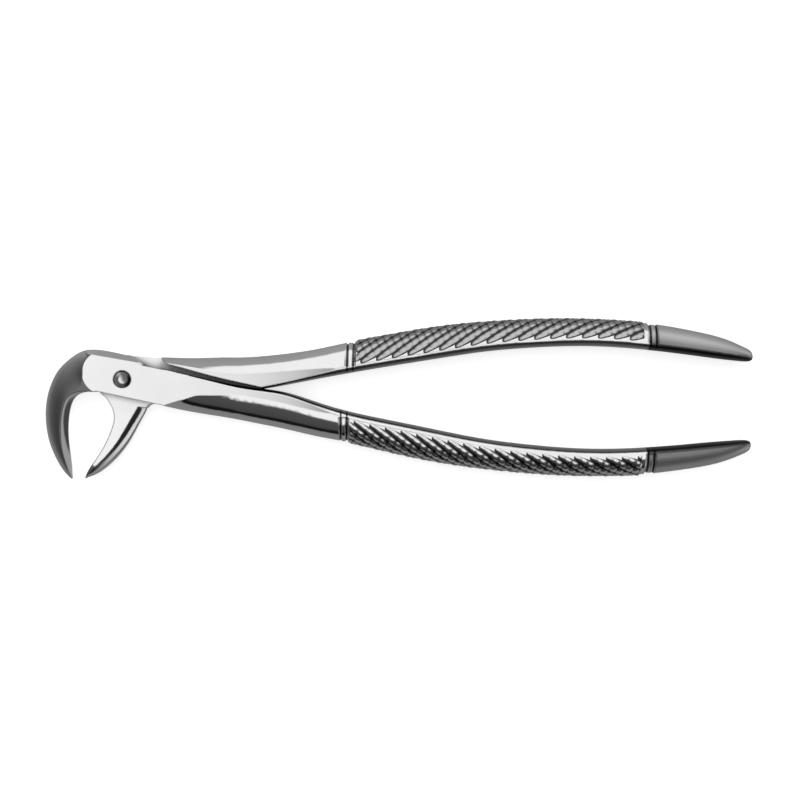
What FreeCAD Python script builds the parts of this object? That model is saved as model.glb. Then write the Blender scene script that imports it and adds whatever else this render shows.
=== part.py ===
"""Extraction forceps: two forged steel levers that cross in a lap joint and turn on one pivot pin.

Everything is in millimetres. The forceps lies flat on Z = 0 with the pivot's axis along Z through
the origin. +X runs from the joint along the handles, and +Y points to the rear lever's handle.
The rear lever fills the lower half of the joint's thickness, the front lever the upper half.
"""
import FreeCAD
import Part
import math
import os

# Overall sizes
BODY_WIDTH = 10.0            # across both levers along Z: joint, beaks and grips are equally wide
HANDLE_REACH = 156.25        # pivot axis to the ends of the handles
BEAK_LENGTH = 21.8           # root line of the beaks to their tips, along -Y
BEAK_ROOT_Y = -3.2           # where the beaks leave the joint
HANDLE_MIRROR_Y = -1.9       # the two handles mirror each other about this line

# The lap joint
LAP_Z = BODY_WIDTH / 2
LAP_CLEARANCE = 0.04         # between the two lapped faces
PLATE_OVERLAP = 3.0          # how far the rear plate runs into its shank
PLATE_INSET = 0.3            # and how far inside the shank's edges it ends
LAP_SHARE = (LAP_Z - LAP_CLEARANCE / 2) / BODY_WIDTH
REAR_EYE_RADIUS = 6.2        # the rear lever's rounded end around the pin
EYE_CLEARANCE = 0.35         # from that end to the front lever's shoulder
BAR_HALF_WIDTH = 4.2         # the front lever's straight bar, measured square to its edges
BAR_TILT = -10.6             # degrees, the bar's lower edge against +X
SHOULDER_GAP = 0.9           # each bar to the other lever's shoulder, along the shanks

# The pivot pin
PIN_RADIUS = 1.75
PIN_RUNNING_CLEARANCE = 0.03
PIN_HEAD_LIP = 0.3           # how far the head stands out past the shank all round
PIN_HEAD_RADIUS = PIN_RADIUS + PIN_HEAD_LIP
PIN_HEAD_CLEARANCE = 0.08
PIN_HEAD_DEPTH = 0.9         # seat of the head below the front face
PIN_DOME = 0.22              # top of the dome above the front face
PIN_RIM_DROP = 0.35          # edge of the dome below the front face
HEAD_CHAMFER = 0.15
TAIL_FLARE = 0.5             # riveted tail: how far the countersink opens
TAIL_RECESS = 0.15           # the tail stays this far inside the rear face

# The grips and their end rings
GRIP_START_X = 56.0          # the shanks hand over to the grips here
RING_GROOVE_WIDTH = 0.5
RING_GROOVE_DEPTH = 0.5
RING_LAND_DEPTH = 0.2        # the band with the rings lies this far below the grip
RING_BAND = 2.6              # length of each band
RING_INSET = 0.3             # band end to its outer groove
GRIP_LENGTH = 72.4           # between the rear lever's two ring bands
FRONT_GRIP_LEAD = 1.3        # the front lever's grip starts this much nearer the joint

# Shape of the sections
INNER_SQUARENESS = 2.6       # power of the arch on a handle's inner side
OUTER_ROUNDNESS = 2.0        # power of the arch on its outer side: an ellipse
SHANK_INNER_HEIGHT = 0.3     # a shank's inner rounding at the pivot, and its growth along X
SHANK_INNER_GROWTH = 0.022
ARC_STEPS = 8
OVERCUT = 1.0                # cutting shapes run this far past what they cut
GRINDING_TOLERANCE = 0.001   # surfaces this close count as touching when a side is ground
FAR = 60.0                   # reach of a cutting outline beyond the joint

# Rear shank stations: x, outer edge y, inner edge y, y where the ground flat ends
REAR_SHANK = [
    (8.0, 5.65, -5.55, 4.2),
    (14.0, 5.75, -4.65, 3.85),
    (20.0, 5.9, -3.75, 2.93),
    (27.0, 6.15, -2.75, 2.2),
    (33.0, 6.5, -1.85, 2.35),
    (40.0, 7.35, -0.52, 3.0),
    (48.0, 8.75, 1.2, 3.8),
]

LAST_STRAIGHT = 4            # up to this station the rear shank's inner edge is straight

# Front shank stations, the same four sizes
FRONT_SHANK = [
    (10.0, -6.4, 2.7, -4.9),
    (13.5, -7.1, 2.05, -5.14),
    (17.0, -7.7, 1.35, -4.0),
    (21.0, -8.27, 0.6, -3.35),
    (27.0, -9.12, -0.55, -3.25),
    (33.0, -10.15, -1.35, -3.8),
    (40.0, -11.4, -2.2, -5.1),
    (48.0, -13.05, -4.5, -6.85),
]

# Handle stations: fraction from GRIP_START_X to the end, outer and inner distance from the mirror
# line, half width as a fraction of the body's, height of the inner rounding
HANDLE = [
    (0.0, 12.5, 4.75, 0.994, 1.6),
    (0.1, 14.57, 6.68, 0.994, 1.7),
    (0.22, 16.8, 8.87, 0.994, 1.7),
    (0.34, 18.26, 10.9, 0.994, 1.7),
    (0.46, 19.16, 12.15, 0.994, 1.7),
    (0.56, 19.47, 12.72, 0.994, 1.7),
    (0.66, 19.3, 12.68, 0.994, 1.7),
    (0.74, 18.85, 12.2, 0.994, 1.6),
    (0.84, 17.47, 11.24, 0.994, 1.6),
    (0.92, 15.8, 10.35, 0.98, 1.5),
    (0.96, 14.4, 9.98, 0.92, 1.3),
    (0.985, 13.3, 9.8, 0.8, 1.0),
    (0.997, 12.6, 9.95, 0.64, 0.8),
    (1.0, 12.1, 10.3, 0.5, 0.6),
]

# Beak stations: inner x, inner drop, outer x, outer drop, rear z, front z, flat share, lean,
# hollow depth. A drop is a fraction of BEAK_LENGTH below the root line, and the two z are
# fractions of BODY_WIDTH. The flat share is how far across the section its side faces stay flat,
# and lean is how far the rounding's middle lies outside the section, so how soon it falls away.
OUTER_BEAK = [
    (-6.1, -0.002, -8.3, -0.48, 0.0, 1.0, 0.82, 0.0, 0.0),
    (-7.1, 0.0, -10.8, -0.462, 0.0, 1.0, 0.6, 0.0, 0.0),
    (-8.2, 0.0, -12.9, -0.407, 0.0, 1.0, 0.35, 0.05, 0.05),
    (-9.8, 0.0, -15.2, -0.317, 0.0, 1.0, 0.15, 0.2, 0.3),
    (-11.8, 0.023, -17.27, -0.194, 0.0, 1.0, 0.07, 0.35, 0.7),
    (-13.3, 0.078, -18.75, -0.0275, 0.0, 1.0, 0.07, 0.35, 1.1),
    (-14.2, 0.174, -19.45, 0.138, 0.0, 1.0, 0.07, 0.35, 1.3),
    (-14.7, 0.335, -19.5, 0.326, 0.0, 1.0, 0.08, 0.35, 1.3),
    (-14.65, 0.518, -18.75, 0.532, 0.0, 1.0, 0.09, 0.35, 1.1),
    (-14.3, 0.66, -17.6, 0.683, 0.015, 0.985, 0.1, 0.35, 0.85),
    (-13.75, 0.784, -16.0, 0.826, 0.1, 0.9, 0.12, 0.35, 0.5),
    (-13.2, 0.881, -14.75, 0.913, 0.24, 0.76, 0.15, 0.35, 0.25),
    (-12.85, 0.95, -13.75, 0.963, 0.365, 0.635, 0.2, 0.3, 0.1),
    (-12.5, 0.996, -12.9, 1.0, 0.455, 0.545, 0.2, 0.3, 0.03),
]

INNER_BEAK = [
    (-3.78, 0.124, 5.41, 0.172, 0.0, LAP_SHARE, 0.76, 0.0, 0.0),
    (-2.87, 0.203, 4.65, 0.257, 0.0, 0.503, 0.68, 0.0, 0.1),
    (-2.5, 0.307, 3.5, 0.358, 0.0, 0.54, 0.6, 0.0, 0.3),
    (-3.01, 0.431, 2.2, 0.482, 0.0, 0.61, 0.54, 0.0, 0.7),
    (-4.54, 0.615, 0.0, 0.651, 0.0, 0.71, 0.45, 0.0, 1.0),
    (-6.1, 0.743, -2.3, 0.78, 0.04, 0.75, 0.38, 0.0, 0.8),
    (-7.5, 0.839, -4.7, 0.883, 0.14, 0.735, 0.33, 0.0, 0.45),
    (-8.55, 0.913, -6.9, 0.95, 0.28, 0.665, 0.3, 0.0, 0.2),
    (-9.1, 0.963, -8.3, 0.977, 0.385, 0.6, 0.3, 0.0, 0.08),
    (-9.4, 0.99, -9.1, 0.994, 0.46, 0.535, 0.3, 0.0, 0.02),
]

# Where the inner beak's two sides round out into the rear lever's joint
ROOT_LEFT = [(-6.45, -2.9), (-5.06, -4.31)]
ROOT_RIGHT = [(6.3, -6.1), (7.9, -5.65)]
# The front lever's upper rim: ends of its flat's straight edge, and the outline outside it
FLAT_TOP = [(-7.94, 6.03), (5.1, 4.04)]
BAR_END = [FLAT_TOP[0], (-9.5, 4.2), (-9.87, 2.1), (-9.4, -0.3), (-8.2, -2.0), (-6.06, -3.1)]
BAR_OUTLET = (10.6, (16.5, -4.1))   # where the bar's lower edge leaves its flat, from x to a point
RIM_OUTLINE = [(-9.6, 7.05), (-7.4, 7.3), (-4.9, 7.12), (-0.9, 6.4), (2.1, 5.6), (4.6, 4.12)]
RIM_BEVEL_SLOPE = 1.7
RIM_OVERLAP = 1.0            # how far the rim runs into the bar
# The rear lever's shoulder, above the lap plane, from the top edge along the front bar
SHOULDER = [(9.0, 6.5), (9.9, 4.8), (13.0, 3.62), (18.8, 2.16), (25.0, 0.7), (31.7, -0.62), (38.0, -1.88)]
SHOULDER_RUNOUT = 0.2        # slope of its end beyond the shanks
# The front lever's shoulder, below the lap plane: x and how far it has flared from its gap
SHOULDER_FLARE = [(10.0, 2.2), (11.0, 1.1), (14.0, 0.6), (19.0, 0.2), (25.0, 0.0), (31.0, 0.0), (40.0, 0.0)]
EYE_TOP = 75.0               # degrees where the rear eye begins and ends
EYE_BACK = 190.0
SHOULDER_TOP = 100.0         # degrees where the front lever's shoulder around it begins and ends
SHOULDER_BACK = 195.0
BEAK_CORNER = (-8.7, -4.2)   # where that room leaves the outer beak's root


def point(x, y, z):
    """A point or direction in space."""
    return FreeCAD.Vector(x, y, z)


def curve(points, start, end):
    """A smooth edge through the points that leaves and arrives along the two directions."""
    spline = Part.BSplineCurve()
    spline.interpolate(Points=points, InitialTangent=start, FinalTangent=end)
    return spline.toShape()


def free_curve(points):
    """A smooth edge through the points."""
    spline = Part.BSplineCurve()
    spline.interpolate(Points=points)
    return spline.toShape()


def even_curve(points):
    """A smooth edge with evenly spaced knots, so that a loft through many of them stays light."""
    knots = [float(number) for number in range(len(points))]
    spline = Part.BSplineCurve()
    spline.interpolate(Points=points, Parameters=knots)
    return spline.toShape()


def prism(edges, low, high):
    """A solid between two heights on a closed outline of edges drawn at Z = 0."""
    face = Part.Face(Part.Wire(edges))
    face.translate(point(0, 0, low))
    return face.extrude(point(0, 0, high - low))


def polyline(corners):
    """The straight edges along a row of (x, y) corners."""
    places = [point(x, y, 0) for x, y in corners]
    return [Part.makeLine(a, b) for a, b in zip(places, places[1:])]


def half_arch(place, base, height, half_width, power):
    """A smooth arch from one side of the section over its crown to the other side.

    place(across, z) turns section coordinates into a point. The arch starts and ends at `base`
    and rises by `height`, which may be negative.
    """
    points = []
    for step in range(2 * ARC_STEPS + 1):
        angle = math.pi * step / (2 * ARC_STEPS)
        rise = abs(math.sin(angle)) ** (2 / power)
        side = math.copysign(abs(math.cos(angle)) ** (2 / power), math.cos(angle))
        points.append(place(base + height * rise, LAP_Z + half_width * side))
    return even_curve(points)


def handle_section(x, outer, inner, half_width, inner_height):
    """A D-shaped section square to X: a round outer arch on a flatter, squarer inner side.

    Every section is drawn the same way round as seen along the loft, so that its solid faces out.
    """
    toward = math.copysign(1, outer - inner)

    def place(y, z):
        return point(x, y, LAP_Z + toward * (z - LAP_Z))
    joint = inner + toward * inner_height
    outside = half_arch(place, joint, outer - joint, half_width, OUTER_ROUNDNESS)
    inside = half_arch(place, joint, inner - joint, half_width, INNER_SQUARENESS)
    return Part.Wire([outside, inside.reversed()])


def flat_width(half_width, share):
    """Half width an arch needs for its ground side face to reach `share` of its height."""
    return half_width / math.sqrt(1 - share * share)


def shank_sections(stations):
    """Sections of one shank, wide enough for the ground side faces to cut them."""
    sections = []
    for x, outer, inner, flat_end in stations:
        inner_height = SHANK_INNER_HEIGHT + SHANK_INNER_GROWTH * x
        joint = inner + math.copysign(inner_height, outer - inner)
        share = (flat_end - joint) / (outer - joint)
        width = flat_width(BODY_WIDTH / 2, share)
        sections.append(handle_section(x, outer, inner, width, inner_height))
    return sections


def grip_sections(side):
    """Sections of one handle from the end of its shank to its rounded end."""
    sections = []
    for fraction, outer, inner, width, inner_height in HANDLE:
        x = GRIP_START_X + fraction * (HANDLE_REACH - GRIP_START_X)
        outer_y = HANDLE_MIRROR_Y + side * outer
        inner_y = HANDLE_MIRROR_Y + side * inner
        sections.append(handle_section(x, outer_y, inner_y, width * BODY_WIDTH / 2, inner_height))
    return sections


def beak_section(station, hand, faced):
    """One beak section: a round outer arch and a hollow between its two rims.

    `hand` is 1 or -1 and draws the section the way round that makes its loft face out. A faced
    section has its flat side faces drawn in, the other kind is over-wide and ground flat later.
    """
    inner_x, inner_drop, outer_x, outer_drop, low, high, share, lean, hollow = station
    inner = point(inner_x, BEAK_ROOT_Y - inner_drop * BEAK_LENGTH, 0)
    outer = point(outer_x, BEAK_ROOT_Y - outer_drop * BEAK_LENGTH, 0)
    across = outer - inner
    size = across.Length
    across.normalize()
    middle_z = (low + high) / 2 * BODY_WIDTH
    rim = (high - low) / 2 * BODY_WIDTH

    def place(u, z):
        return inner + across * u + point(0, 0, middle_z + hand * z)
    centre = -lean * size
    reach = size - centre
    flat = share * size
    half = rim / math.sqrt(1 - ((flat - centre) / reach) ** 2)
    start = math.asin(((flat if faced else 0) - centre) / reach)
    edge = half * math.cos(start)
    arch = []
    scoop = []
    for step in range(2 * ARC_STEPS + 1):
        angle = start + (math.pi - 2 * start) * step / (2 * ARC_STEPS)
        arch.append(place(centre + reach * math.sin(angle), half * math.cos(angle)))
        z = edge - 2 * edge * step / (2 * ARC_STEPS)
        scoop.append(place(hollow * max(0.0, 1 - (z / rim) ** 2), z))
    if not faced:
        return Part.Wire([even_curve(arch), even_curve(scoop[::-1])])
    edges = [
        Part.makeLine(place(0, rim), place(flat, rim)),
        even_curve(arch),
        Part.makeLine(place(flat, -rim), place(0, -rim)),
        even_curve(scoop[::-1]),
    ]
    return Part.Wire(edges)


def ground(shape):
    """The shape ground flat on both sides, down to the body's width."""
    size = 4 * HANDLE_REACH
    below = Part.makeBox(size, size, BODY_WIDTH, point(-size / 2, -size / 2, -BODY_WIDTH))
    above = Part.makeBox(size, size, BODY_WIDTH, point(-size / 2, -size / 2, BODY_WIDTH))
    return shape.cut([below, above], GRINDING_TOLERANCE)


def loft(sections):
    """A smooth solid through the sections."""
    return Part.makeLoft(sections, True, False)


def handle_sizes(x, side):
    """Outer and inner edge of a handle at x, on straight lines between its stations."""
    fraction = (x - GRIP_START_X) / (HANDLE_REACH - GRIP_START_X)
    for low, high in zip(HANDLE, HANDLE[1:]):
        if low[0] <= fraction <= high[0]:
            share = (fraction - low[0]) / (high[0] - low[0])
            outer = low[1] + share * (high[1] - low[1])
            inner = low[2] + share * (high[2] - low[2])
            break
    else:
        outer, inner = HANDLE[0][1], HANDLE[0][2]
    return HANDLE_MIRROR_Y + side * outer, HANDLE_MIRROR_Y + side * inner


def arc_edge(radius, start, middle, end):
    """An arc around the pin through three angles in degrees."""
    places = []
    for degrees in (start, middle, end):
        angle = math.radians(degrees)
        places.append(point(radius * math.cos(angle), radius * math.sin(angle), 0))
    return Part.Arc(*places).toShape()


def on_circle(radius, degrees):
    """The (x, y) at an angle on a circle around the pin."""
    angle = math.radians(degrees)
    return radius * math.cos(angle), radius * math.sin(angle)


def bar_edge(x, offset):
    """y of a line beside the front bar's lower edge, moved away from the pin by `offset`."""
    tilt = math.radians(BAR_TILT)
    return -(BAR_HALF_WIDTH + offset) / math.cos(tilt) + x * math.tan(tilt)


def rear_bar_edge(x):
    """y of the rear lever's inner edge where it is lapped behind the front lever."""
    low, high = REAR_SHANK[0], REAR_SHANK[LAST_STRAIGHT]
    slope = (high[2] - low[2]) / (high[0] - low[0])
    return low[2] + (x - low[0]) * slope


def rear_plate():
    """The rear lever's half of the joint: a round eye that runs out into beak and shank."""
    top = on_circle(REAR_EYE_RADIUS, EYE_TOP)
    back = on_circle(REAR_EYE_RADIUS, EYE_BACK)
    end_x = REAR_SHANK[0][0] + PLATE_OVERLAP
    inner_x, inner_drop, outer_x, outer_drop = INNER_BEAK[0][:4]
    left = ROOT_LEFT + [(inner_x, BEAK_ROOT_Y - inner_drop * BEAK_LENGTH)]
    right = [(outer_x, BEAK_ROOT_Y - outer_drop * BEAK_LENGTH)] + ROOT_RIGHT
    edges = [
        arc_edge(REAR_EYE_RADIUS, EYE_TOP, (EYE_TOP + EYE_BACK) / 2, EYE_BACK),
        curve([point(x, y, 0) for x, y in [back] + left], point(-0.2, -1, 0), point(0.5, -0.87, 0)),
        curve([point(x, y, 0) for x, y in right], point(0.25, 0.97, 0), point(1, 0.12, 0)),
    ]
    foot = polyline([left[-1], right[0]])
    corners = [
        right[-1],
        (end_x, rear_bar_edge(end_x) + PLATE_INSET),
        (end_x, REAR_SHANK[0][1] - PLATE_INSET),
        top,
    ]
    loop = Part.__sortEdges__(edges + foot + polyline(corners))
    return prism(loop, 0, LAP_Z - LAP_CLEARANCE / 2)


def front_plate():
    """The front lever's half of the joint: a straight bar with a round end towards the beak."""
    end = free_curve([point(x, y, 0) for x, y in BAR_END])
    low_x, high = BAR_OUTLET
    corners = [BAR_END[-1], (low_x, bar_edge(low_x, 0)), high, (high[0], FRONT_SHANK[2][2]), BAR_END[0]]
    return prism([end] + polyline(corners), LAP_Z + LAP_CLEARANCE / 2, BODY_WIDTH)


def front_rim():
    """The front lever's upper edge beside its bar, beveled from the bar's flat to the outside."""
    low_x, low_y = FLAT_TOP[0]
    crest = free_curve([point(x, y, 0) for x, y in RIM_OUTLINE])
    corners = [RIM_OUTLINE[-1], (FLAT_TOP[1][0], FLAT_TOP[1][1] - RIM_OVERLAP)]
    corners += [(low_x, low_y - RIM_OVERLAP), RIM_OUTLINE[0]]
    body = prism([crest] + polyline(corners), LAP_Z + LAP_CLEARANCE / 2, BODY_WIDTH)
    length = math.hypot(FLAT_TOP[1][0] - low_x, FLAT_TOP[1][1] - low_y)
    turn = math.degrees(math.atan2(FLAT_TOP[1][1] - low_y, FLAT_TOP[1][0] - low_x))
    width = BODY_WIDTH / RIM_BEVEL_SLOPE
    profile = [
        point(-length, 0, BODY_WIDTH),
        point(-length, width, 0),
        point(-length, width, BODY_WIDTH + OVERCUT),
        point(-length, 0, BODY_WIDTH + OVERCUT),
        point(-length, 0, BODY_WIDTH),
    ]
    bevel = Part.Face(Part.makePolygon(profile)).extrude(point(3 * length, 0, 0))
    bevel.rotate(point(0, 0, 0), point(0, 0, 1), turn)
    bevel.translate(point(low_x, low_y, 0))
    return body.cut(bevel)


def rear_shoulder():
    """Room for the front lever in the rear shank: above the lap plane, inside the shoulder."""
    crest = free_curve([point(x, y, 0) for x, y in SHOULDER])
    first, last = SHOULDER[0], SHOULDER[-1]
    corners = [last, (FAR, last[1] - SHOULDER_RUNOUT * (FAR - last[0])), (FAR, -FAR), (-FAR, -FAR)]
    corners += [(-FAR, first[1]), first]
    return prism([crest] + polyline(corners), LAP_Z - LAP_CLEARANCE / 2, BODY_WIDTH + OVERCUT)


def front_shoulder():
    """Room for the rear lever in the front one: below the lap plane, inside eye and shoulder."""
    radius = REAR_EYE_RADIUS + EYE_CLEARANCE
    top = on_circle(radius, SHOULDER_TOP)
    back = on_circle(radius, SHOULDER_BACK)
    eye = arc_edge(radius, SHOULDER_TOP, (SHOULDER_TOP + SHOULDER_BACK) / 2, SHOULDER_BACK)
    line = [(x, rear_bar_edge(x) - SHOULDER_GAP - extra) for x, extra in SHOULDER_FLARE]
    crest = free_curve([point(x, y, 0) for x, y in line])
    corners = [
        line[-1],
        (FAR, rear_bar_edge(FAR) - SHOULDER_GAP),
        (FAR, FAR),
        (on_circle(FAR, SHOULDER_TOP)[0], FAR),
        top,
    ]
    lower = [
        back,
        BEAK_CORNER,
        (BEAK_CORNER[0], -FAR),
        (line[0][0], -FAR),
        line[0],
    ]
    edges = [eye, crest] + polyline(corners) + polyline(lower)
    loop = Part.__sortEdges__(edges)
    return prism(loop, -OVERCUT, LAP_Z + LAP_CLEARANCE / 2)


def turned(profile):
    """A solid turned around the pivot's axis from a closed row of (radius, z) corners."""
    places = [point(r, 0, z) for r, z in profile]
    wire = Part.makePolygon(places + [places[0]])
    return Part.Face(wire).revolve(point(0, 0, 0), point(0, 0, 1), 360)


def pivot_pin():
    """The rivet: domed head in front, straight shank, tail spread into the rear countersink."""
    seat_z = BODY_WIDTH - PIN_HEAD_DEPTH
    shank = turned([
        (0, TAIL_RECESS),
        (PIN_RADIUS + TAIL_FLARE, TAIL_RECESS),
        (PIN_RADIUS, TAIL_RECESS + TAIL_FLARE),
        (PIN_RADIUS, seat_z),
        (0, seat_z),
    ])
    rise = PIN_DOME + PIN_RIM_DROP
    ball_radius = (PIN_HEAD_RADIUS ** 2 + rise ** 2) / (2 * rise)
    crown = BODY_WIDTH + PIN_DOME
    ball = Part.makeSphere(ball_radius, point(0, 0, crown - ball_radius))
    head = Part.makeCylinder(PIN_HEAD_RADIUS, crown - seat_z, point(0, 0, seat_z)).common(ball)
    return shank.fuse(head).removeSplitter()


def rear_bore():
    """Room for the pin in the rear lever: a press fit and the countersink of its tail."""
    flare_z = TAIL_FLARE + TAIL_RECESS
    return turned([
        (0, -OVERCUT),
        (PIN_RADIUS + flare_z + OVERCUT, -OVERCUT),
        (PIN_RADIUS, flare_z),
        (PIN_RADIUS, LAP_Z + OVERCUT),
        (0, LAP_Z + OVERCUT),
    ])


def front_bore():
    """Room for the pin in the front lever: a running bore, the head's seat and its chamfer."""
    running = PIN_RADIUS + PIN_RUNNING_CLEARANCE
    seat = PIN_HEAD_RADIUS + PIN_HEAD_CLEARANCE
    seat_z = BODY_WIDTH - PIN_HEAD_DEPTH - LAP_CLEARANCE
    return turned([
        (0, LAP_Z - OVERCUT),
        (running, LAP_Z - OVERCUT),
        (running, seat_z),
        (seat, seat_z),
        (seat, BODY_WIDTH - HEAD_CHAMFER),
        (seat + HEAD_CHAMFER + OVERCUT, BODY_WIDTH + OVERCUT),
        (0, BODY_WIDTH + OVERCUT),
    ])


def ring_cut(x, length, depth, side):
    """A band taken off a handle's outer arch and sides, leaving its inner face whole."""
    outer, inner = handle_sizes(x + length / 2, side)
    inner_height = HANDLE[0][4]
    joint = inner + side * inner_height
    half = BODY_WIDTH / 2
    kept = half_arch(lambda y, z: point(x, y, z), joint, outer - side * depth - joint,
                     half - depth, OUTER_ROUNDNESS)
    ends = kept.Vertexes
    base = inner - side * OVERCUT
    corners = [
        ends[-1].Point,
        point(x, base, ends[-1].Point.z),
        point(x, base, ends[0].Point.z),
        ends[0].Point,
    ]
    rim = [Part.makeLine(a, b) for a, b in zip(corners, corners[1:])]
    core = Part.Face(Part.Wire([kept] + rim)).extrude(point(length, 0, 0))
    low_y = min(joint, outer + side * OVERCUT)
    high_y = max(joint, outer + side * OVERCUT)
    block = Part.makeBox(length, high_y - low_y, BODY_WIDTH + 2 * OVERCUT)
    block.translate(point(x, low_y, -OVERCUT))
    return block.cut(core)


def ring_bands(side):
    """The two bands with a pair of grooves each that end the grip."""
    near = GRIP_START_X - RING_BAND / 2 + RING_INSET
    lead = FRONT_GRIP_LEAD if side < 0 else 0
    cuts = []
    for start in (near - lead, near + RING_BAND + GRIP_LENGTH):
        cuts.append(ring_cut(start, RING_BAND, RING_LAND_DEPTH, side))
        first = start + RING_INSET
        second = start + RING_BAND - RING_INSET - RING_GROOVE_WIDTH
        for groove in (first, second):
            cuts.append(ring_cut(groove, RING_GROOVE_WIDTH, RING_GROOVE_DEPTH, side))
    return cuts


def rear_lever():
    """The lever with the upper handle and the inner beak."""
    shank = ground(loft(shank_sections(REAR_SHANK) + grip_sections(1))).cut(rear_shoulder())
    beak = loft([beak_section(station, 1, True) for station in INNER_BEAK])
    whole = shank.fuse(rear_plate()).fuse(beak).cut(rear_bore())
    for band in ring_bands(1):
        whole = whole.cut(band)
    return whole.removeSplitter()


def front_lever():
    """The lever with the lower handle and the outer, hawk-bill beak."""
    shank = ground(loft(shank_sections(FRONT_SHANK) + grip_sections(-1)))
    beak = ground(loft([beak_section(station, -1, False) for station in OUTER_BEAK]))
    whole = shank.fuse(beak).fuse(front_plate()).fuse(front_rim())
    whole = whole.cut(front_shoulder()).cut(front_bore())
    for band in ring_bands(-1):
        whole = whole.cut(band)
    return whole.removeSplitter()


def main():
    """Builds the three pieces and writes each to its own file."""
    os.makedirs("parts", exist_ok=True)
    pieces = {
        "rear_lever": rear_lever(),
        "front_lever": front_lever(),
        "pivot_pin": pivot_pin(),
    }
    for name, shape in pieces.items():
        shape.exportStep("parts/" + name + ".step")
        print(name, shape.isValid(), len(shape.Solids), round(shape.Volume, 2), shape.BoundBox)


main()
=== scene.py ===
"""Extraction forceps in polished steel, lying on a pale floor and seen from straight above.

Lengths are metres. The forceps lies in the frame's own axes: +X along the handles, +Y towards the
rear lever's handle, +Z out of the joint's front face. The grips get their knurling here.
"""

import math

import bmesh
import bpy
import numpy as np
from mathutils import Matrix, Vector
from mathutils.bvhtree import BVHTree


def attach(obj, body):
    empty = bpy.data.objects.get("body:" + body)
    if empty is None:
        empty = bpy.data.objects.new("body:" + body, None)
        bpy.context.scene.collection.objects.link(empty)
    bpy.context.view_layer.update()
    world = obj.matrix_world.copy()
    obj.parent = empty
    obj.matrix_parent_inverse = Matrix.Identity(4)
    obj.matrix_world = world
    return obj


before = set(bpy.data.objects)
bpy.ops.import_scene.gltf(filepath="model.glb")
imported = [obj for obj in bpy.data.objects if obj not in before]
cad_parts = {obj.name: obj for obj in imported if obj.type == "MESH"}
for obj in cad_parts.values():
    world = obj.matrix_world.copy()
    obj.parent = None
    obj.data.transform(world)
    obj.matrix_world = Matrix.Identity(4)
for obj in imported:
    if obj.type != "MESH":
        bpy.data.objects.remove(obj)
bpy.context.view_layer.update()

MM = 0.001

# Camera
CAMERA_AT = (67.57 * MM, -2.36 * MM)
CAMERA_HEIGHT = 435 * MM
LAP_HEIGHT = 5 * MM              # the plane between the joint's two halves, at half thickness
VIEW_WIDTH = 197.5 * MM          # width of the view at that height
CAMERA_ROLL = 1.25               # degrees
SENSOR_WIDTH = 36.0
CAMERA_REACH = 10.0

# Table and lamp
TABLE_SIZE = 3.0
LAMP_SIZE = 0.5
LAMP_POWER = 0.6
LAMP_PLACE = (CAMERA_AT[0], 0.15, 0.7)
LAMP_TILT = -12                  # degrees about X

# Tones of the studio on each side of the forceps, as (fall, brightness): a fall of 0 is straight
# up and 1 is straight down
LEFT_TONES = [(0.0, 1.0), (0.165, 1.0), (0.195, 0.125), (0.55, 0.125), (0.7, 0.25), (1.0, 0.3)]
RIGHT_TONES = [
    (0.0, 1.0), (0.165, 1.0), (0.195, 0.02), (0.38, 0.02), (0.42, 0.8), (0.6, 0.8), (0.64, 0.06),
    (0.76, 0.06), (0.8, 0.35), (1.0, 0.35),
]
UPPER_TONES = [(0.0, 1.0), (0.4, 1.0), (0.44, 0.36), (0.8, 0.3), (1.0, 0.25)]
LOWER_TONES = [
    (0.0, 1.0), (0.15, 1.0), (0.18, 0.075), (0.36, 0.06), (0.4, 0.006), (0.47, 0.006), (0.5, 0.22),
    (1.0, 0.25),
]
SIDE_SHARPNESS = 3.0             # how firmly a direction belongs to its nearest side
LEAST_WEIGHT = 0.0001            # keeps straight up and down from dividing by nothing

# Steel
STEEL_COLOUR = (0.9, 0.9, 0.9)
LEVER_ROUGHNESS = 0.07
KNURL_ROUGHNESS = 0.14
PIN_ROUGHNESS = 0.1
RELIEF_STRENGTH = 0.035
RELIEF_DEPTH = 0.02 * MM
CREVICE_REACH = 3 * MM           # how far away a wall still casts painted shade into a crevice
# darkest that the painted shade makes a crevice's colour
CREVICE_PAINTED_SHADE_DARKEST = 0.03

# Finish of the levers and the pin, with painted shade and a painted highlight
FLAT_END = (-4.6 * MM, 1.6 * MM)  # middle of the round end of the front lever's flat
FLAT_END_RADIUS = 5.25 * MM
FLAT_END_BLUR = 0.12 * MM
BEAK_PAINTED_SHADE = 0.8            # painted shade on the outer beak where it faces up
SATIN_HAZE = 0.3
TAIL_START = 130.0 * MM
TAIL_BLUR = 0.3 * MM
TAIL_PAINTED_SHADE = 0.9             # painted shade on a tail's inner side
TAIL_SHADE_EASING = 0.75             # how much of that painted shade its outer side gets back
TAIL_HAZE = 0.35
# painted shade on the handles' inner faces, which lean away from the light
INNER_FACE_PAINTED_SHADE = 0.7
INNER_FACE_START = (36 * MM, 44 * MM)  # x over which painted shade on the handles' inner faces sets in
# painted highlight and painted shade on the rivet's dome
PIN_PAINTED_SHADE_DARKEST = 0.15
PIN_SHADE_REACH = 0.7 * MM
# painted shade in the ring grooves
GROOVE_PAINTED_SHADE = 0.85
GROOVE_WIDTH = 0.5 * MM
GROOVE_STARTS = {                # x where the ring grooves begin, by the lever's side
    1: (55.3 * MM, 56.8 * MM, 130.3 * MM, 131.8 * MM),
    -1: (54.0 * MM, 55.5 * MM, 130.3 * MM, 131.8 * MM),
}
STAIN = 0.12                     # how far the haze dulls the steel
EDGE_RADIUS = 0.45 * MM          # to which the polishing has worn the sharp edges

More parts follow.
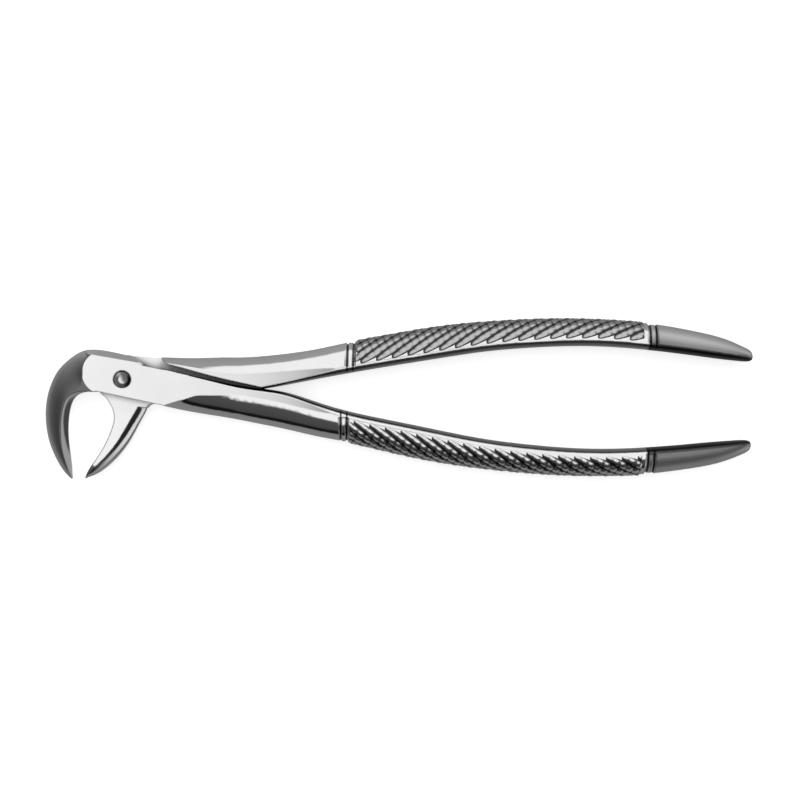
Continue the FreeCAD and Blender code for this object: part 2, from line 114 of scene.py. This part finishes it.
# Knurled grips
KNURL_START = {"rear_lever": 57.2 * MM, "front_lever": 55.9 * MM}
KNURL_END = 129.3 * MM
KNURL_STEP = 0.19 * MM           # spacing of the knurl's mesh
KNURL_RISE = 0.34 * MM           # crests above the grip
KNURL_FLOOR = 0.03 * MM          # grooves above the grip
KNURL_SINK = 0.12 * MM           # how deep the knurl's edges are buried in the grip
KNURL_EDGE = 0.5 * MM            # over which the knurl rises from its edges
ROW_SPACING = 2.09 * MM          # strong diagonal grooves, measured square to themselves
ROW_ANGLE = 32                   # degrees to the grip
CROSS_SPACING = 1.86 * MM        # weaker grooves that cross them
CROSS_ANGLE = 70
CROSS_DEPTH = 0.75
CROSS_SHARPNESS = 0.6
LEAST_CROSS = 0.3                # share of that depth at the inner edge
ROW_SHARPNESS = 1.5              # at the inner edge, where the grooves are widest
ROW_SHARPNESS_FALL = 0.8         # and how much of it is lost over the slots' share of the arch
SLOT_SHARE = 0.25                # share of the arch where the rows stay long
SCALLOP = 0.7 * MM               # how far the knurl's inner edge steps back between rows
CORE_INSET = 1.9 * MM            # centre line of a grip, inside its inner face
ARC_START = -4                   # degrees, where the knurl begins beside the inner face
ARC_COUNT = 84                   # points round the arch
KNURL_DEPTH = 0.4 * MM           # thickness of the skin below the grip's surface
KNURL_GROOVE_PAINTED_SHADE = 0.92           # painted shade in its grooves
# Painted shade: the two knurls are copies of one steel, the rear one painted darker than the front
# one
REAR_KNURL_SHADED_TONE = 0.62
FRONT_KNURL_SHADED_TONE = 0.95
SMOOTHING_PASSES = 6
GRID_HALF = 0.5                  # half the size of the flat grid that becomes a knurl
HANDLE_MIRROR = -1.9 * MM        # y of the line midway between the handles

# Places of outputs on their nodes
OBJECT_OUTPUT = 3                # Object, on a texture coordinate node
NORMAL_OUTPUT = 1                # Normal, on a geometry node
SCALAR_OUTPUT = 1                # AO, on an ambient occlusion node
FACTOR_OUTPUT = 2                # Fac, on an attribute node


class Value:
    """A shader socket that can be used in ordinary sums."""

    def __init__(self, graph, socket):
        self.graph = graph
        self.socket = socket

    def math(self, operation, *others, flip=False):
        terms = [self, *others]
        if flip:
            terms.reverse()
        return self.graph.node("ShaderNodeMath", {"operation": operation}, dict(enumerate(terms)))

    def __add__(self, other):
        return self.math("ADD", other)

    def __radd__(self, other):
        return self.math("ADD", other, flip=True)

    def __sub__(self, other):
        return self.math("SUBTRACT", other)

    def __rsub__(self, other):
        return self.math("SUBTRACT", other, flip=True)

    def __mul__(self, other):
        return self.math("MULTIPLY", other)

    def __rmul__(self, other):
        return self.math("MULTIPLY", other, flip=True)

    def __truediv__(self, other):
        return self.math("DIVIDE", other)

    def __lt__(self, other):
        return self.math("LESS_THAN", other)


class Graph:
    """Builds the nodes of one material or world."""

    def __init__(self, owner):
        owner.use_nodes = True
        self.tree = owner.node_tree
        self.tree.nodes.clear()

    def node(self, kind, settings=None, sockets=None, output=0):
        """Adds a node and returns one of its outputs. Sockets take values or other outputs."""
        made = self.tree.nodes.new(kind)
        for name, value in (settings or {}).items():
            setattr(made, name, value)
        for key, value in (sockets or {}).items():
            if isinstance(value, Value):
                self.tree.links.new(value.socket, made.inputs[key])
            else:
                made.inputs[key].default_value = value
        return Value(self, made.outputs[output]) if made.outputs else made

    def ramp(self, factor, stops):
        """A grey ramp through (position, brightness) stops."""
        value = self.node("ShaderNodeValToRGB", None, {"Fac": factor})
        band = value.socket.node.color_ramp
        while len(band.elements) < len(stops):
            band.elements.new(0.5)
        for element, (position, grey) in zip(band.elements, stops):
            element.position = position
            element.color = (grey, grey, grey, 1)
        return value

    def blend(self, value, low, high):
        """0 at `low` and 1 at `high`, with a smooth change between them."""
        settings = {"interpolation_type": "SMOOTHSTEP"}
        sockets = {"Value": value, "From Min": low, "From Max": high}
        return self.node("ShaderNodeMapRange", settings, sockets)

    def parts(self, vector):
        """The x, y and z of a vector."""
        split = self.node("ShaderNodeSeparateXYZ", None, {"Vector": vector})
        outputs = split.socket.node.outputs
        return [Value(self, output) for output in outputs]

    def place(self):
        """The object's own coordinates."""
        return self.node("ShaderNodeTexCoord", output=OBJECT_OUTPUT)

    def normal(self):
        """The surface's normal."""
        return self.parts(self.node("ShaderNodeNewGeometry", output=NORMAL_OUTPUT))


def satin_shaded_beak(graph, x, y, normal):
    """Where the front lever's beak is satin and gets painted shade: left of its flat's round end,
    but not in the hollow.
    """
    dx, dy = x - FLAT_END[0], y - FLAT_END[1]
    radius = (dx * dx + dy * dy).math("SQRT")
    beyond = graph.blend(radius, FLAT_END_RADIUS, FLAT_END_RADIUS + FLAT_END_BLUR)
    return beyond * (x < FLAT_END[0]) * (1.0 - graph.blend(normal[0], 0.15, 0.35))


def in_grooves(graph, x, starts):
    """1 inside the ring grooves that begin at these x."""
    total = 0.0
    for start in starts:
        away = (x - (start + GROOVE_WIDTH / 2)).math("ABSOLUTE")
        total = 1.0 - graph.blend(away, 0.3 * GROOVE_WIDTH, 0.65 * GROOVE_WIDTH) + total
    return total.math("MINIMUM", 1.0)


def lever_finish_and_shade(graph, tone, rough, side):
    """A lever's finish and painted shade: satin tails with painted shade on their inner sides,
    painted shade in the ring grooves and on the inner faces; a satin outer beak with painted shade
    where it faces up.

    `side` is 1 for the rear lever and -1 for the front one, whose handle lies towards -Y.
    """
    x, y, _ = graph.parts(graph.place())
    normal = graph.normal()
    outward_lean = side * normal[1]
    # Painted shade on the tails, darker on their inner sides; their added roughness is a real satin
    # haze.
    tail = graph.blend(x, TAIL_START, TAIL_START + TAIL_BLUR)
    outer_side_shade_easing = TAIL_SHADE_EASING * graph.blend(outward_lean, -0.3, 0.8)
    tone = tone * (1.0 - tail * (TAIL_PAINTED_SHADE - outer_side_shade_easing))
    rough = rough + TAIL_HAZE * tail
    # Painted shade in the ring grooves.
    tone = tone * (1.0 - GROOVE_PAINTED_SHADE * in_grooves(graph, x, GROOVE_STARTS[side]))
    # Painted shade on the inner faces of the handles.
    inner_face_shade = graph.blend(outward_lean, -0.35, -0.7) * graph.blend(x, *INNER_FACE_START)
    tone = tone * (1.0 - INNER_FACE_PAINTED_SHADE * inner_face_shade)
    if side < 0:
        # The outer beak: a real satin haze, and painted shade where it faces up.
        satin = satin_shaded_beak(graph, x, y, normal)
        tone = tone * (1.0 - BEAK_PAINTED_SHADE * satin * graph.blend(normal[2], 0.6, 1.0))
        rough = rough + SATIN_HAZE * satin
    return tone, rough


def knurl_painted_shade(graph, tone, rough, brightness):
    """Knurling: painted shade in its grooves, the whole knurl scaled by its grip's painted shade
    tone.
    """
    settings = {"attribute_name": "groove"}
    depth = graph.node("ShaderNodeAttribute", settings, output=FACTOR_OUTPUT)
    return brightness * tone * (1.0 - KNURL_GROOVE_PAINTED_SHADE * graph.blend(depth, 0.3, 0.8)), rough


def pin_painted_shading(graph, tone, rough):
    """The rivet's dome: a painted highlight towards the beaks, painted shade towards the handles."""
    x, y, _ = graph.parts(graph.place())
    lit = graph.blend(x * 0.9 + y * 0.45, PIN_SHADE_REACH, -PIN_SHADE_REACH)
    return tone * (PIN_PAINTED_SHADE_DARKEST + (1 - PIN_PAINTED_SHADE_DARKEST) * lit), rough


def steel(name, roughness, finish, *choice):
    """Polished stainless steel with faint haze, fine scratches and painted shade in its crevices.

    finish(graph, tone, rough, *choice) adds what one piece shows besides, painted shade and a
    painted highlight among it.
    """
    material = bpy.data.materials.new(name)
    graph = Graph(material)
    place = graph.place()
    haze = graph.node("ShaderNodeTexNoise", None, {"Vector": place, "Scale": 90.0, "Detail": 4.0})
    stretched = graph.node(
        "ShaderNodeMapping", None, {"Vector": place, "Scale": (120.0, 2600.0, 2600.0)}
    )
    scratch = graph.node(
        "ShaderNodeTexNoise", None, {"Vector": stretched, "Scale": 1.0, "Detail": 3.0}
    )
    grain = graph.node("ShaderNodeTexNoise", None, {"Vector": place, "Scale": 1500.0, "Detail": 2.0})
    rough = roughness * (0.7 + 0.6 * haze) + 0.05 * (scratch - 0.5)
    tone = 1.0 - STAIN * (haze - 0.35).math("MAXIMUM", 0.0) - 0.04 * grain
    # Painted shade: an ambient occlusion node darkens the colour in crevices and between the parts.
    openness = graph.node(
        "ShaderNodeAmbientOcclusion",
        {"samples": 8},
        {"Distance": CREVICE_REACH},
        output=SCALAR_OUTPUT,
    )
    tone = tone * (CREVICE_PAINTED_SHADE_DARKEST + (1 - CREVICE_PAINTED_SHADE_DARKEST) * graph.blend(openness, 0.3, 0.85))
    tone, rough = finish(graph, tone, rough, *choice)
    colour = graph.node(
        "ShaderNodeVectorMath", {"operation": "SCALE"}, {"Vector": STEEL_COLOUR, "Scale": tone}
    )
    worn_edge = graph.node("ShaderNodeBevel", {"samples": 6}, {"Radius": EDGE_RADIUS})
    relief = graph.node(
        "ShaderNodeBump",
        None,
        {
            "Strength": RELIEF_STRENGTH,
            "Distance": RELIEF_DEPTH,
            "Height": scratch + haze,
            "Normal": worn_edge,
        },
    )
    shader = graph.node(
        "ShaderNodeBsdfPrincipled",
        None,
        {"Base Color": colour, "Metallic": 1.0, "Roughness": rough, "Normal": relief},
    )
    graph.node("ShaderNodeOutputMaterial", None, {"Surface": shader})
    return material


def floor_material():
    """A pale, almost evenly lit table."""
    material = bpy.data.materials.new("table_top")
    graph = Graph(material)
    place = graph.place()
    mottle = graph.node("ShaderNodeTexNoise", None, {"Vector": place, "Scale": 6.0, "Detail": 2.0})
    colour = graph.node(
        "ShaderNodeVectorMath",
        {"operation": "SCALE"},
        {"Vector": (0.9, 0.9, 0.9), "Scale": 0.98 + 0.02 * mottle},
    )
    shader = graph.node(
        "ShaderNodeBsdfPrincipled",
        None,
        {
            "Base Color": colour,
            "Roughness": 0.9,
            "Specular IOR Level": 0.0,
            "Emission Color": (1.0, 1.0, 1.0, 1.0),
            "Emission Strength": 0.7,
        },
    )
    graph.node("ShaderNodeOutputMaterial", None, {"Surface": shader})
    return material


def surroundings():
    """The studio around the forceps: a white panel overhead, and its own tone on each side.

    Each side's ramp runs from straight up, at 0, down to straight below, at 1.
    """
    world = bpy.data.worlds.new("studio")
    bpy.context.scene.world = world
    graph = Graph(world)
    direction = graph.node("ShaderNodeTexCoord")
    x, y, z = graph.parts(direction)
    fall = z.math("ARCCOSINE") / math.pi
    sides = [
        (0.0 - x, LEFT_TONES),
        (x, RIGHT_TONES),
        (y, UPPER_TONES),
        (0.0 - y, LOWER_TONES),
    ]
    total = LEAST_WEIGHT
    light = 0.0
    for toward, tones in sides:
        weight = toward.math("MAXIMUM", 0.0).math("POWER", SIDE_SHARPNESS)
        total = weight + total
        light = weight * graph.ramp(fall, tones) + light
    background = graph.node("ShaderNodeBackground", None, {"Color": light / total, "Strength": 1.0})
    graph.node("ShaderNodeOutputWorld", None, {"Surface": background})


def lever_tree(lever):
    """A lever's surface, ready to be probed with rays."""
    mesh = lever.data
    points = [vertex.co.copy() for vertex in mesh.vertices]
    return BVHTree.FromPolygons(points, [tuple(face.vertices) for face in mesh.polygons])


def grip_grid(tree, side, start, end):
    """Points on a grip's outer arch, spaced evenly: along the grip, then round the arch."""
    along = np.arange(start, end, KNURL_STEP)
    turns = np.radians(np.linspace(ARC_START, 180 - ARC_START, ARC_COUNT))
    grid = np.zeros((len(along), ARC_COUNT, 3))
    for row, x in enumerate(along):
        inside = tree.ray_cast(Vector((x, HANDLE_MIRROR, LAP_HEIGHT)), Vector((0, side, 0)))[0]
        centre = Vector((x, inside.y + side * CORE_INSET, LAP_HEIGHT))
        for column, turn in enumerate(turns):
            out = Vector((0, side * math.sin(turn), math.cos(turn)))
            grid[row, column] = tree.ray_cast(centre, out)[0]
    return grid


def smoothed(grid, passes):
    """The grid with the facets of its source averaged out, its borders kept."""
    for _ in range(passes):
        inner = (grid[:-2, 1:-1] + grid[2:, 1:-1] + grid[1:-1, :-2] + grid[1:-1, 2:]) / 4
        grid = grid.copy()
        grid[1:-1, 1:-1] = inner
    return grid


def distances(grid, axis):
    """Distance covered along one axis of the grid, starting at zero."""
    steps = np.linalg.norm(np.diff(grid, axis=axis), axis=2)
    first = np.zeros_like(np.take(steps, [0], axis=axis))
    return np.concatenate([first, np.cumsum(steps, axis=axis)], axis=axis)


def outward(grid, side):
    """Unit normals of the grid, pointing out of the grip."""
    normal = np.cross(np.gradient(grid, axis=0), np.gradient(grid, axis=1))
    normal /= np.linalg.norm(normal, axis=2, keepdims=True)
    return side * normal


def ridge(distance, spacing, sharpness):
    """1 on the crest between two grooves and 0 in a groove."""
    return np.abs(np.sin(np.pi * distance / spacing)) ** sharpness


def knurl_height(u, v, width):
    """Height of the knurl over the grip: diagonal rows broken into scales by crossing grooves."""
    row, cross = math.radians(ROW_ANGLE), math.radians(CROSS_ANGLE)
    across = np.clip(v / (SLOT_SHARE * width), 0, 1)
    sharpness = ROW_SHARPNESS - ROW_SHARPNESS_FALL * across
    rows = ridge(u * math.sin(row) - v * math.cos(row), ROW_SPACING, sharpness)
    scales = ridge(u * math.sin(cross) + v * math.cos(cross), CROSS_SPACING, CROSS_SHARPNESS)
    depth = CROSS_DEPTH * (LEAST_CROSS + (1 - LEAST_CROSS) * across)
    shape = rows * (1 - depth + depth * scales)
    lengthwise = np.minimum(u, u[-1:] - u)
    crosswise = np.minimum(v - SCALLOP * (1 - rows), width - v)
    inset = np.minimum(lengthwise, crosswise)
    edge = np.clip(inset / KNURL_EDGE, 0, 1)
    edge = edge * edge * (3 - 2 * edge)
    height = KNURL_FLOOR + (KNURL_RISE - KNURL_FLOOR) * shape
    return edge * height - (1 - edge) * KNURL_SINK, 1 - shape


def knurled_skin(name, lever, side, body, material):
    """The knurled cover of one grip, a closed shell whose underside is buried in the grip."""
    grid = grip_grid(lever_tree(lever), side, KNURL_START[lever.name], KNURL_END)
    grid = smoothed(grid, SMOOTHING_PASSES)
    u, v = distances(grid, 0), distances(grid, 1)
    height, groove = knurl_height(u, v, v[:, -1:])
    normal = outward(grid, side)
    top = grid + normal * height[..., None]
    under = grid - normal * KNURL_DEPTH
    rows, columns = height.shape
    shell = bmesh.new()
    bmesh.ops.create_grid(
        shell, x_segments=rows - 1, y_segments=columns - 1, size=GRID_HALF
    )
    layer = shell.verts.layers.float.new("groove")
    raised = bmesh.ops.extrude_face_region(shell, geom=shell.faces[:], use_keep_orig=True)["geom"]
    raised = {item for item in raised if isinstance(item, bmesh.types.BMVert)}
    for vertex in shell.verts:
        i = round((vertex.co.x + GRID_HALF) * (rows - 1))
        j = round((vertex.co.y + GRID_HALF) * (columns - 1))
        vertex.co = top[i, j] if vertex in raised else under[i, j]
        vertex[layer] = groove[i, j]
    bmesh.ops.recalc_face_normals(shell, faces=shell.faces)
    mesh = bpy.data.meshes.new(name)
    shell.to_mesh(mesh)
    shell.free()
    mesh.shade_smooth()
    mesh.materials.append(material)
    skin = bpy.data.objects.new(name, mesh)
    bpy.context.scene.collection.objects.link(skin)
    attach(skin, body)


def dress(node, material):
    """Gives a CAD node its finish."""
    node.data.materials.clear()
    node.data.materials.append(material)


def stage():
    """The table the forceps lies on."""
    bpy.ops.mesh.primitive_plane_add(size=TABLE_SIZE, location=(*CAMERA_AT, 0))
    table = bpy.context.object
    table.name = "table"
    table.data.materials.append(floor_material())
    table.visible_glossy = False


def soft_light():
    """One broad, weak lamp above the table."""
    data = bpy.data.lights.new("softbox", "AREA")
    data.shape = "SQUARE"
    data.size = LAMP_SIZE
    data.energy = LAMP_POWER
    lamp = bpy.data.objects.new("softbox", data)
    lamp.location = LAMP_PLACE
    lamp.rotation_euler = (math.radians(LAMP_TILT), 0, 0)
    lamp.visible_glossy = False
    bpy.context.scene.collection.objects.link(lamp)


def camera():
    """Straight above the forceps, its handles tipped slightly down to the right."""
    data = bpy.data.cameras.new("camera")
    data.sensor_width = SENSOR_WIDTH
    distance = CAMERA_HEIGHT - LAP_HEIGHT
    data.lens = SENSOR_WIDTH * distance / VIEW_WIDTH
    data.clip_end = CAMERA_REACH
    eye = bpy.data.objects.new("camera", data)
    eye.matrix_world = Matrix.Translation((*CAMERA_AT, CAMERA_HEIGHT)) @ Matrix.Rotation(
        math.radians(CAMERA_ROLL), 4, "Z"
    )
    bpy.context.scene.collection.objects.link(eye)
    bpy.context.scene.camera = eye


def main():
    """Dresses the levers and the pin, adds the knurling and sets the scene."""
    scene = bpy.context.scene
    scene.view_settings.view_transform = "Standard"
    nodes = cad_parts
    # The two knurls get copies of one steel that differ only in painted shade.
    rear_knurl = steel("rear_knurl_steel", KNURL_ROUGHNESS, knurl_painted_shade, REAR_KNURL_SHADED_TONE)
    front_knurl = steel("front_knurl_steel", KNURL_ROUGHNESS, knurl_painted_shade, FRONT_KNURL_SHADED_TONE)
    dress(nodes["rear_lever"], steel("rear_lever_steel", LEVER_ROUGHNESS, lever_finish_and_shade, 1))
    dress(nodes["front_lever"], steel("front_lever_steel", LEVER_ROUGHNESS, lever_finish_and_shade, -1))
    dress(nodes["pivot_pin"], steel("rivet_steel", PIN_ROUGHNESS, pin_painted_shading))
    knurled_skin("rear_knurl", nodes["rear_lever"], 1, "rear_body", rear_knurl)
    knurled_skin("front_knurl", nodes["front_lever"], -1, "front_body", front_knurl)
    surroundings()
    stage()
    soft_light()
    camera()


main()
